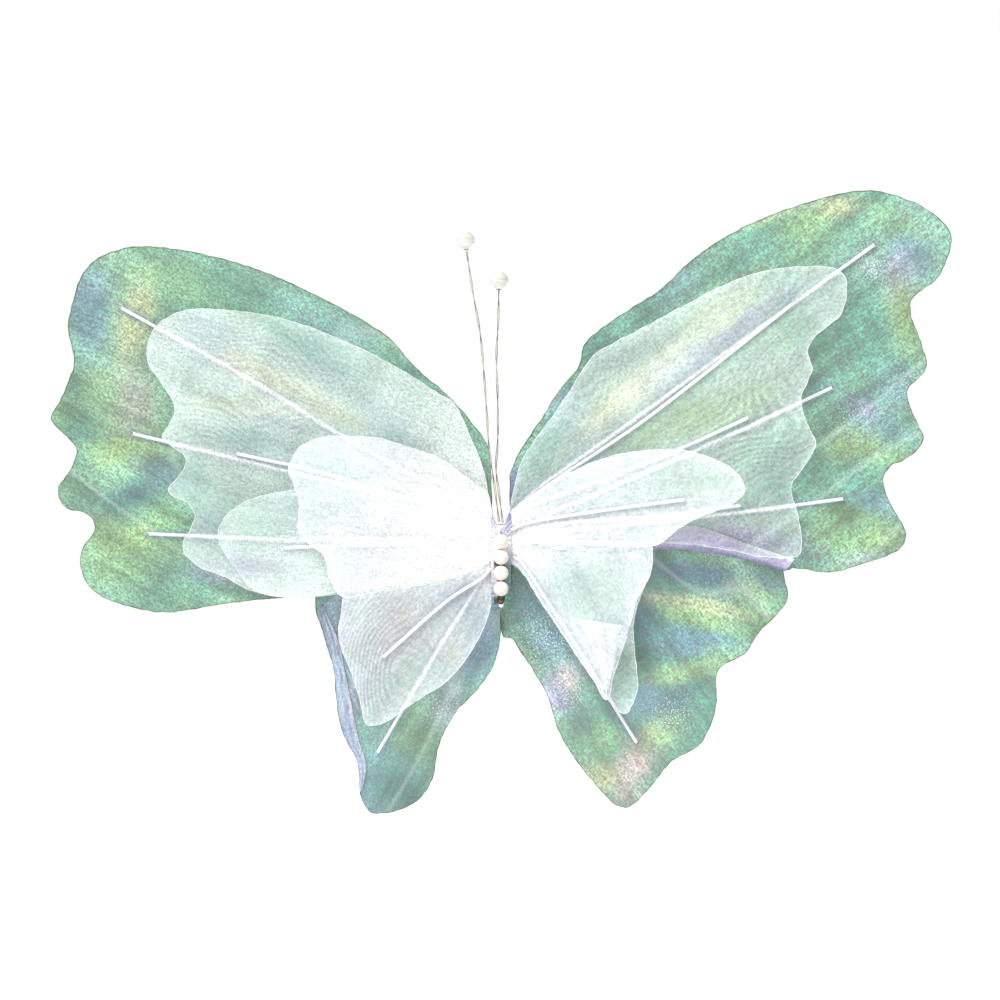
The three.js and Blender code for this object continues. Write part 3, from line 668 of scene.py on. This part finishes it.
def addTurnup(panel):
    look = turnups[panel.name]
    joined, free = smoothLine(look["joined"], 1.2), smoothLine(look["free"], 1.2)
    rows, columns = 96, 22
    points, tints = [], []
    at = np.linspace(0, 1, rows)
    joined, free = (np.stack([np.interp(at, np.linspace(0, 1, len(line)), c) for c in line.T], axis=1)
                    for line in (joined, free))
    for k in range(columns):
        share = k / (columns - 1)
        spot = joined * (1 - share) + free * share
        wrinkle = 0.35 * np.sin(share * 15 + drift(spot[:, 0], spot[:, 1], 14, 2.0) * 3)
        rise = look["bulge"] * math.sin(math.pi * min(1, share * 0.9 + 0.02)) + 1.1 * min(1, share * 6)
        y = panel.depth(spot[:, 0], spot[:, 1]) - rise - wrinkle * min(1, share * 5)
        points.append(np.column_stack([spot[:, 0], y, spot[:, 1]]))
        # painted shade at the fold, the cloth's colour, then a painted highlight at the crest, with painted
        # shade in the wrinkles
        colour = light(look["low"]) * (1 - min(1, share * 2.4)) \
            + light(look["middle"]) * min(1, share * 2.4)
        colour = colour + (light(look["crestHighlight"]) - colour) * max(0, share - 0.72) / 0.28
        tints.append(colour[None] * (1 - 0.16 * np.clip(wrinkle / 0.35, 0, 1))[:, None])
    points, tints = np.vstack(points), np.vstack(tints)
    faces = [(k * rows + i, k * rows + i + 1, (k + 1) * rows + i + 1, (k + 1) * rows + i)
             for k in range(columns - 1) for i in range(rows - 1)]
    piece = addPiece(panel.name + "_turnup", points, faces, organza["folded"], panel.body)
    keepValues(piece, "tint", np.column_stack([tints, np.ones(len(tints))]))
    keepWeave(piece, points[:, 0], points[:, 2], weave[panel.name] + 20, 900)
    keepValues(piece, "cover", np.full(len(points), look["cover"]))
    keepValues(piece, "ripple", np.zeros(len(points)))
    keepValues(piece, "glint", np.full(len(points), 0.25))
    a, b, c, d = (points[[f[i] for f in faces]] for i in range(4))
    area = np.linalg.norm(np.cross(c - a, d - b), axis=1).sum() / 2
    length = np.linalg.norm(np.diff(joined, axis=0), axis=1).sum()
    print(f"wings: {piece.name} {length:.0f} mm long, {area / 100:.1f} cm2")


def dressCloth(piece, colour, cover):
    # a small piece of organza, in one colour or a colour for each point
    spots = np.array([tuple(v.co) for v in piece.data.vertices]) / mm
    if len(colour) == 3:
        colour = np.repeat([(*paint(*colour), 1.0)], len(spots), 0)
    keepValues(piece, "tint", colour)
    keepWeave(piece, spots[:, 1] + spots[:, 0], spots[:, 2], 10, 500)
    keepValues(piece, "cover", np.full(len(spots), cover))
    keepValues(piece, "ripple", np.zeros(len(spots)))
    keepValues(piece, "glint", np.full(len(spots), 0.1))


cuff = dict(inner=3.8, reach=1.5, closing=1.9, outer=6.6, front=-15.9, back=-4.3, pleats=34, depth=0.4,
            topDip=6.5, bottomDip=1.2)
# the cloth's colour up the cuff, by height in millimetres
cuffTints = dict(
    left=[(-26, slate), (-15, (176, 186, 204)), (-6, (226, 216, 226)), (6, (250, 250, 252)),
          (20, (240, 240, 246)), (33, (178, 176, 204))],
    right=[(-26, teal), (-2, (112, 152, 150)), (4, (190, 200, 214)), (9, (246, 247, 250)),
           (17, (232, 230, 240)), (25, (170, 166, 196)), (35, (118, 114, 154))])
# where the dark tape shows between the folds: side, height, half height
tapeGaps = [("left", 1.5, 4.4), ("left", -23.5, 2.4)]


def addCuff(sideName, side, top, bottom):
    front, back = cuff["front"], cuff["back"]
    points, tints = [], []
    heights, mixed = zip(*cuffTints[sideName])
    mixed = np.array([paint(*c) for c in mixed])
    rows, columns = 220, 9
    for k in range(columns):
        share = k / (columns - 1)
        for i in range(rows):
            t = i / rows
            # down the front, then up the back
            face = math.cos(2 * math.pi * t)
            up = math.copysign(abs(face) ** 0.6, face)
            closing = max(0.0, -up - 0.8) / 0.2 * cuff["closing"]
            inner = cuff["inner"] - cuff["reach"] * max(0.0, math.sin(2 * math.pi * t)) ** 0.5 - closing
            x = inner + (cuff["outer"] - inner) * share
            deep = math.sin(2 * math.pi * t)
            y = (front + back) / 2 - math.copysign(abs(deep) ** 0.35, deep) * (back - front) / 2
            y += (1 - share) * (0.9 if deep > 0 else -0.5)
            pleat = math.sin(up * cuff["pleats"] * 1.7 + share * 0.8) * cuff["depth"] * (0.35 + 0.65 * share)
            high = top - cuff["topDip"] * (1 - share) ** 1.5
            low = bottom + cuff["bottomDip"] * (1 - share) ** 1.5
            z = (high + low) / 2 + up * (high - low) / 2
            points.append((side * x, y - pleat * (1 if deep > 0 else -1), z))
            tint = np.array([np.interp(z, heights, c) for c in mixed.T])
            # painted shade in the hollows of the pleats
            tint *= 1 - 0.22 * max(0, -pleat) / cuff["depth"]
            for where, level, half in tapeGaps:
                if where == sideName and share < 0.62:
                    tint += (light((52, 50, 34)) - tint) * math.exp(-((z - level) / half) ** 4)
            tints.append((*tint, 1.0))
    piece = newPiece(sideName + "_root_cuff", points, ringFaces(columns, rows), organza["small"])
    dressCloth(piece, tints, 0.98)
    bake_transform(piece)
    return piece


cuffs = dict(left=addCuff("left", -1, 34, -29), right=addCuff("right", 1, 36, -29.5))


# shade beside a wire on the cloth, in millimetres and shares
besideWire = dict(gap=1.6, wide=1.7, large=0.55, white=0.45)
# a wire behind the cloth shows as a pale line between two soft shades, fainter towards the root
wireBehind = dict(wide=1.05, strength=0.85, shadeGap=2.4, shadeWide=0.9, shade=0.22, starts=12, full=45)


def tintCloth(panel, x, z):
    # the cloth's colours, with painted shade beside its own wires, beside the wires behind it and in its
    # pleats, and how strongly the wires behind it show
    colours = layPatches(groundTint(panel, x, z), x, z, {**largeTints, **whiteTints}[panel.name])
    large = panel.layer == "large"
    shadow = light(slate if large else (196, 200, 222))
    beside = np.exp(-((panel.nearVein(x, z) - besideWire["gap"]) / besideWire["wide"]) ** 2)
    beside *= besideWire["large" if large else "white"]
    colours += np.clip(beside + panel.pleats(x, z)[1], 0, 1)[:, None] * (shadow - colours)
    ghost = awayFromAll(x, z, panel.ghosts)
    outward = np.clip((fromGather(x, z) - wireBehind["starts"]) / wireBehind["full"], 0.2, 1)
    line = np.exp(-(ghost / wireBehind["wide"]) ** 2) * wireBehind["strength"] * outward
    shade = np.exp(-((ghost - wireBehind["shadeGap"]) / wireBehind["shadeWide"]) ** 2) * wireBehind["shade"]
    colours += shade[:, None] * (shadow - colours)
    colours += line[:, None] * (light((253, 253, 255)) - colours)
    return colours, line


def clothCover(panel, x, z, line):
    # nearly solid where it is gathered, sealed at its edge and backed by a wire, and sheer elsewhere
    edge = np.exp(-awayFrom(x, z, panel.rim[::2]) / 1.8)
    solid = np.exp(-(fromGather(x, z) / gathered.get(panel.name, 14)) ** 1.5)
    usual = panel.look["cover"] * denser.get(panel.name, 1.0)
    cover = usual + (0.97 - usual) * np.maximum(solid, 0.5 * edge)
    for across, up, wide, high, share in thinPlaces.get(panel.name, []):
        cover *= 1 - (1 - share) * np.exp(-((x - across) / wide) ** 2 - ((z - up) / high) ** 2)
    return cover + line * (0.9 - cover).clip(0, 1)


def nearPlaces(places, x, z):
    return sum(strength * np.exp(-((x - across) ** 2 + (z - up) ** 2) / size ** 2)
               for across, up, size, strength in places)


def addRim(panel):
    # the sealed edge all round, but not along the root
    line = np.column_stack([panel.rim[:, 0], panel.depth(*panel.rim.T), panel.rim[:, 1]])
    thick = panel.look["rimRadius"] * (1 + 0.35 * drift(*panel.rim.T, 4, panel.seed))
    points, faces, _ = tubeShape(line, thick, 6)
    return addPiece(panel.name + "_rim", points, faces, rims[panel.layer], panel.body)


def addPanel(name):
    panel = Panel(name)
    flat = np.vstack([panel.rim, fillPoints(panel)])
    count = len(panel.rim)
    loop = [(i, (i + 1) % count) for i in range(count)]
    spots, _, faces, _, _, _ = delaunay_2d_cdt([Vector(p) for p in flat], loop, [], 1, 1e-6)
    x, z = np.array([tuple(p) for p in spots]).T
    sheet = addPiece(name + "_cloth", np.stack([x, panel.depth(x, z), z], axis=1), [tuple(f) for f in faces],
                     organza[panel.layer], panel.body, [name])
    colours, line = tintCloth(panel, x, z)
    keepValues(sheet, "tint", np.column_stack([colours, np.ones(len(x))]))
    keepWeave(sheet, x, z, weave[name], panel.seed * 40)
    keepValues(sheet, "cover", clothCover(panel, x, z, line))
    keepValues(sheet, "ripple", np.clip(nearPlaces(ripplePlaces, x, z), 0, 1))
    keepValues(sheet, "glint", np.clip(0.12 + nearPlaces(glintPlaces, x, z), 0, 1))
    held = [addRim(panel)] + [addVein(panel, vein, route) for vein, route in panel.veins.items()]
    if name.endswith("large_forewing"):
        held.append(cuffs[name.split("_")[0]])

    # the size it was cut to, laid flat in its own leaning plane
    a, b = panel.rim, np.roll(panel.rim, -1, axis=0)
    area = abs((a[:, 0] * b[:, 1] - b[:, 0] * a[:, 1]).sum()) / 2 * math.hypot(1, panel.lean)
    if name in turnups:
        addTurnup(panel)


vein = dict(radius=1.12, step=0.9, sides=10, turn=1.25)  # turn: millimetres to one wrap of the thread
antenna = dict(strand=0.24, apart=0.48, twist=46.0)


def wrappedMaterial():
    s = Shades("wrapped vein wire", 0.38, **{"Sheen Weight": 0.3, "Sheen Roughness": 0.3})
    run, turn = s.kept("run"), s.kept("turn")
    wraps = s.sum("SINE", s.sum("ADD", s.sum("MULTIPLY", run, 2 * math.pi / vein["turn"]), turn), 0.0)
    wraps = s.spread(wraps, -1, 1)
    fuzz = s.cloud(900, detail=2)
    tone = s.sum("ADD", s.spread(wraps, 0, 1, 0.86, 1.0), s.spread(fuzz, 0.3, 0.7, -0.05, 0.03))
    colour = s.mix("MULTIPLY", 1.0, paint(252, 252, 254), s.grey(tone))
    s.bump(s.sum("ADD", wraps, s.sum("MULTIPLY", fuzz, 0.4)), 0.00025)
    return s.finish(colour)


wrapped = wrappedMaterial()


def addVein(panel, name, line):
    # the wire lies on the cloth and follows it
    route = smoothLine(line, vein["step"])
    route[:, 1] = panel.depth(route[:, 0], route[:, 2]) - vein["radius"] - 0.12
    for _ in range(6):
        route[1:-1, 1] = (route[:-2, 1] + 2 * route[1:-1, 1] + route[2:, 1]) / 4
    points, faces, run = tubeShape(route, vein["radius"], vein["sides"])
    piece = addPiece(name + "_wrapped", points, faces, wrapped, panel.body, [name])
    keepValues(piece, "run", run[:, 0])
    keepValues(piece, "turn", run[:, 1])
    return piece


def goldMaterial():
    s = Shades("aged gold wire", 0.32, Metallic=0.85)
    stain = s.spread(s.cloud(120, detail=4), 0.4, 0.62)
    colour = s.mix("MIX", stain, paint(104, 100, 98), paint(196, 188, 156))
    s.bump(s.cloud(2200, detail=2), 0.0002, 0.4)
    return s.finish(colour)


def pearlMaterial(name, low, high, warm):
    s = Shades(name, 0.3, **{"Coat Weight": 0.5, "Coat Roughness": 0.12, "Specular IOR Level": 0.5,
                             "Sheen Weight": 0.15, "Sheen Roughness": 0.4})
    layers = s.cloud(180, detail=4, rough=0.5, stretch=(1, 1, 3))
    colour = s.mix("MIX", s.spread(layers, 0.35, 0.65), low, high)
    blush = s.spread(s.cloud(90, detail=1), 0.5, 0.7, 0.0, 0.25)
    colour = s.mix("MIX", blush, colour, warm)
    s.bump(layers, 0.00006, 0.2)
    return s.finish(colour, roughness=s.spread(layers, 0.3, 0.7, 0.26, 0.38))


gold = goldMaterial()
pearly = pearlMaterial("cream pearl", paint(224, 214, 200), paint(240, 235, 224), paint(228, 212, 212))
glassy = pearlMaterial("antenna pearl", paint(198, 199, 188), paint(228, 228, 220), paint(212, 206, 200))


def addAntenna(name):
    body = bodyOf[name + "_wire"]
    line = smoothLine(wireLine(name + "_wire"), 0.8)
    ahead = np.gradient(line, axis=0)
    ahead /= np.linalg.norm(ahead, axis=1)[:, None]
    across = np.cross(ahead, (0.0, 1.0, 0.0))
    across /= np.linalg.norm(across, axis=1)[:, None]
    up = np.cross(ahead, across)
    gone = np.arange(len(line)) * 0.8 * 2 * math.pi / antenna["twist"]
    points, faces = [], []
    for half in (0, math.pi):
        swing = across * np.cos(gone + half)[:, None] + up * np.sin(gone + half)[:, None]
        joinShape(points, faces, tubeShape(line + swing * antenna["apart"], antenna["strand"], 8))
    addPiece(name + "_strands", points, faces, gold, body, [name + "_wire"])
    addPearl(name + "_pearl", line[-1] - line[-4], True)
    print("wings:", name, "done")


def addPearl(name, axis, blind):
    # a bored bead, its holes slightly dished, with a gold seat where a wire enters blind
    low, high = (np.array(corner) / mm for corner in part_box(name))
    centre, radius = (low + high) / 2, (high - low).max() / 2
    bore = 0.95 if blind else 0.75
    start = math.asin(bore / radius)
    arc = np.linspace(start, math.pi if blind else math.pi - start, 36)
    profile = [(radius * math.sin(a), -radius * math.cos(a)) for a in arc]
    profile = [(bore, -radius * 0.55), (bore, -radius * 0.9), *profile]
    if not blind:
        profile += [(bore, radius * 0.9), (bore, radius * 0.55)]
    points, faces = lathe(profile, 56)
    turned = Vector((0, 0, 1)).rotation_difference(Vector(axis))
    points = [turned @ Vector(p) for p in points]
    points = [tuple(p * (1 + 0.006 * noise.noise(p * 0.35 + Vector((radius, 0, 0)))) + Vector(centre))
              for p in points]
    body = bodyOf[name]
    addPiece(name + "_bead", points, faces, glassy if blind else pearly, body, [name])
    if blind:
        seat = [(1.0 + 0.9 * math.sin(a), 0.35 * math.cos(a)) for a in np.linspace(0, 2 * math.pi, 13)]
        points, faces = lathe([(out, up - radius + 0.1) for out, up in seat], 32)
        points = [tuple(turned @ Vector(p) + Vector(centre)) for p in points]
        addPiece(name + "_seat", points, faces, gold, body)


tape = dict(band=5.2, ridge=0.32, rings=170, sides=72)


def tapeMaterial():
    s = Shades("olive stem tape", 0.72)
    crepe = s.cloud(420, detail=4, rough=0.7, stretch=(1, 1, 0.35))
    stain = s.spread(s.cloud(90, detail=3), 0.4, 0.65)
    colour = s.mix("MIX", stain, paint(44, 42, 26), paint(92, 86, 54))
    colour = s.mix("MULTIPLY", 0.7, colour, s.grey(s.spread(crepe, 0.3, 0.7, 0.6, 1.1)))
    s.bump(crepe, 0.0004)
    return s.finish(colour, roughness=s.spread(crepe, 0.3, 0.7, 0.6, 0.85))


def feltMaterial():
    s = Shades("white felt", 0.95, **{"Sheen Weight": 0.6, "Sheen Roughness": 0.5})
    fibres = s.cloud(650, detail=6, rough=0.75)
    tufts = s.cloud(150, detail=4, rough=0.6)
    tone = s.sum("MULTIPLY", s.spread(fibres, 0.3, 0.7, 0.86, 1.04), s.spread(tufts, 0.3, 0.7, 0.94, 1.02))
    colour = s.mix("MULTIPLY", 1.0, paint(244, 241, 232), s.grey(tone))
    s.bump(s.sum("ADD", fibres, tufts), 0.0006)
    return s.finish(colour)


def stemMaterial():
    s = Shades("bundled stem wires", 0.6)
    grain = s.cloud(300, detail=5, stretch=(1, 1, 0.1))
    colour = s.mix("MIX", s.spread(grain, 0.35, 0.65), paint(78, 60, 40), paint(132, 106, 74))
    s.bump(grain, 0.0003)
    return s.finish(colour)


def stemOutline():
    # the stem from above: flat at the back, round at the nose, as points and the nose's own centre
    low, high = (np.array(corner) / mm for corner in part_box("tape_wrap"))
    half = (high[0] - low[0]) / 2 - tape["ridge"]
    back, nose = high[1] - tape["ridge"], low[1] + tape["ridge"] + half
    outline = []
    for step in range(tape["sides"]):
        turn = 2 * math.pi * step / tape["sides"]
        c, s = math.cos(turn), math.sin(turn)
        blunt = 1 + (1 / max(abs(c), abs(s)) - 1) * 0.75 if s > 0 else 1.0
        reach = half if s < 0 else (back - nose) * blunt * 0.98
        outline.append((half * c * blunt, nose + reach * s))
    return outline, nose, low[2], high[2]


def addStemPiece(name, levels, place, material, replaces=(), openEnds=False):
    # rings round the stem
    outline, nose, _, _ = stemOutline()
    points, n = [], len(outline)
    for level in levels:
        for step, (x, y) in enumerate(outline):
            grow, shrink = place(level, step / n, x, y)
            out = Vector((x, y - nose, 0)).normalized() * grow
            points.append(((x + out.x) * shrink, nose + (y - nose + out.y) * shrink, level))
    faces = ringFaces(len(levels), n) + ([] if openEnds else endFaces(len(levels), n))
    return addPiece(name, points, faces, material, "core", replaces)


def addTape():
    # one long strip wound round the stem in overlapping bands, its ends tucked over
    _, _, bottom, top = stemOutline()

    def wound(level, round_, x, y):
        wind = (level / tape["band"] + round_) % 1.0
        ridge = tape["ridge"] * (wind ** 0.5 if wind < 0.9 else (1 - wind) * 9.5)
        crease = 0.08 * noise.noise(Vector((x, y, level)) * 0.9)
        taper = max(0.0, (bottom + 6 - level) / 6)
        under = 0.34 if level > collar["bottom"] + 0.6 else 0.0
        return ridge + crease - under, 1 - 0.10 * math.exp(-(top - level) / 0.7) - 0.62 * taper ** 1.3

    addStemPiece("tape_winding", np.linspace(bottom, top, tape["rings"]), wound, tapeMaterial(),
                 ["tape_wrap"])
    nodes["stem_core"].data.materials.clear()
    nodes["stem_core"].data.materials.append(stemMaterial())


collar = dict(bottom=5.0, shoulder=26.0, top=28.2, pleats=15, depth=0.26, proud=0.42, cut=42)


def addCollar():
    # organza pleated round the upper stem and drawn in where the antennae leave it
    def pleated(level, round_, x, y):
        fold = 0.5 + 0.5 * math.sin(collar["pleats"] * 2 * math.pi * round_ + level * 0.22)
        behindPearls = 0.62 if y < -14.5 else 1.0
        hem = math.exp(-(level - collar["bottom"]) / 0.8) * 0.3
        rise = max(0.0, (level - collar["shoulder"]) / (collar["top"] - collar["shoulder"]))
        return (collar["proud"] + collar["depth"] * fold - hem) * behindPearls, 1 - 0.5 * rise ** 0.7

    levels = np.linspace(collar["bottom"], collar["top"], 60)
    piece = addStemPiece("stem_collar", levels, pleated, organza["small"], openEnds=True)
    dressCloth(piece, (214, 210, 226), 0.98)


pad = dict(bevel=0.45, holeRadius=1.6, holeEdge=3.6, thread=0.22, stitches=14, stitchIn=1.75, stitchOut=2.75)


def addPad():
    # felt with softly rounded edges and four thread-bound lacing holes
    low, high = (np.array(corner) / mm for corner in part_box("back_pad"))
    halfX, halfZ, middleY = (high[0] - low[0]) / 2, (high[2] - low[2]) / 2, (low[1] + high[1]) / 2
    curve = bpy.data.curves.new("padOutline", "CURVE")
    curve.dimensions = "2D"
    curve.fill_mode = "BOTH"
    inset = pad["bevel"]
    curve.extrude = ((high[1] - low[1]) / 2 - inset) * mm
    curve.bevel_depth = inset * mm
    curve.bevel_resolution = 4
    holeSpots = [(a * (halfX - pad["holeEdge"]), b * (halfZ - halfX)) for a in (-1, 1) for b in (-1, 1)]

    def addRing(points):
        spline = curve.splines.new("POLY")
        spline.points.add(len(points) - 1)
        for spot, (x, z) in zip(spline.points, points):
            spot.co = (x * mm, z * mm, 0, 1)
        spline.use_cyclic_u = True

    turns = np.linspace(0, 2 * math.pi, 97)[:-1]
    radius = halfX - inset
    addRing([(radius * math.cos(t), radius * math.sin(t) + math.copysign(halfZ - halfX, math.sin(t)))
             for t in turns])
    for a, b in holeSpots:
        wide = pad["holeRadius"] + inset
        addRing([(a + wide * math.cos(t), b + wide * math.sin(t)) for t in turns[::3]])
    shape = bpy.data.objects.new("padShape", curve)
    bpy.context.scene.collection.objects.link(shape)
    bpy.context.view_layer.update()
    mesh = bpy.data.meshes.new_from_object(shape.evaluated_get(bpy.context.evaluated_depsgraph_get()))
    points = [(v.co.x / mm, middleY - v.co.z / mm, v.co.y / mm) for v in mesh.vertices]
    faces = [tuple(f.vertices) for f in mesh.polygons]
    bpy.data.objects.remove(shape)
    piece = addPiece("felt_pad", points, faces, feltMaterial(), "core", ["back_pad"])

    # whip stitches round each hole
    points, faces = [], []
    for a, b in holeSpots:
        for turn in np.arange(pad["stitches"]) * 2 * math.pi / pad["stitches"]:
            out = np.array((math.cos(turn), 0, math.sin(turn)))
            near, far = (np.array((a, 0, b)) + out * pad[end] for end in ("stitchIn", "stitchOut"))
            path = [near + (0, high[1] - 0.5, 0), near + (0, high[1] - 0.08, 0),
                    (near + far) / 2 + (0, high[1], 0), far + (0, high[1] - 0.12, 0),
                    far + (0, high[1] - 0.6, 0)]
            joinShape(points, faces, tubeShape(smoothLine(path, 0.22), pad["thread"], 6))
    addPiece("pad_hole_stitches", points, faces, wrappedThread(), "core")


def wrappedThread():
    s = Shades("sewing thread", 0.5, **{"Sheen Weight": 0.3})
    ply = s.cloud(1600, detail=2)
    colour = s.mix("MIX", s.spread(ply, 0.35, 0.65), paint(214, 216, 214), paint(250, 250, 248))
    s.bump(ply, 0.0002)
    return s.finish(colour)


def addString():
    line = smoothLine(wireLine("pearl_string"), 0.4)
    points, faces, _ = tubeShape(line, 0.4, 12)
    addPiece("pearl_string_wire", points, faces, gold, "core", ["pearl_string"])


addTape()
addCollar()
for name in [n for n in nodes if n.split("_")[-1] in ("forewing", "hindwing")]:
    addPanel(name)
for i in range(4):
    addPearl(f"body_pearl_{i + 1}", (0, 0, 1), False)
addString()
addAntenna("left_antenna")
addAntenna("right_antenna")
addPad()
print("wings: all pieces made")


studio = dict(worldLight=0.64, backdrop=1.0, keyPower=3.3, keyHeight=52, keySide=-38, keySoftness=28,
              lens=180, seen=0.660, aimX=-0.0007, aimZ=0.0429, aimDepth=-0.012, floorZ=-0.45, floorHalf=12)


def addStudio():
    scene = bpy.context.scene
    world = bpy.data.worlds.new("white studio")
    world.use_nodes = True
    scene.world = world
    tree = world.node_tree
    light = tree.nodes["Background"]
    path = tree.nodes.new("ShaderNodeLightPath")
    level = tree.nodes.new("ShaderNodeMapRange")
    level.inputs["To Min"].default_value = studio["worldLight"]
    level.inputs["To Max"].default_value = studio["backdrop"]
    tree.links.new(path.outputs["Is Camera Ray"], level.inputs["Value"])
    tree.links.new(level.outputs["Result"], light.inputs["Strength"])
    light.inputs["Color"].default_value = (1, 1, 1, 1)

    sun = bpy.data.lights.new("key", "SUN")
    sun.energy = studio["keyPower"]
    sun.angle = math.radians(studio["keySoftness"])
    key = bpy.data.objects.new("key", sun)
    key.rotation_euler = (math.radians(90 - studio["keyHeight"]), 0, math.radians(studio["keySide"]))
    scene.collection.objects.link(key)

    mesh = bpy.data.meshes.new("floor")
    wide, z = studio["floorHalf"], studio["floorZ"]
    mesh.from_pydata([(-wide, -wide, z), (wide, -wide, z), (wide, wide, z), (-wide, wide, z)], [],
                     [(0, 1, 2, 3)])
    floor = bpy.data.objects.new("floor", mesh)
    s = Shades("pale floor", 0.9, **{"Specular IOR Level": 0.1})
    mesh.materials.append(s.finish(s.mix("MIX", s.cloud(3), (0.95, 0.95, 0.95), (0.97, 0.97, 0.97))))
    scene.collection.objects.link(floor)

    camera = bpy.data.cameras.new("camera")
    camera.lens = studio["lens"]
    camera.clip_end = 50
    placed = bpy.data.objects.new("camera", camera)
    away = studio["seen"] * studio["lens"] / camera.sensor_width
    placed.location = (studio["aimX"], studio["aimDepth"] - away, studio["aimZ"])
    placed.rotation_euler = (math.radians(90), 0, 0)
    scene.collection.objects.link(placed)
    scene.camera = placed
    scene.view_settings.view_transform = "Standard"
    scene.cycles.transparent_max_bounces = 24


addStudio()
print("wings: studio ready")
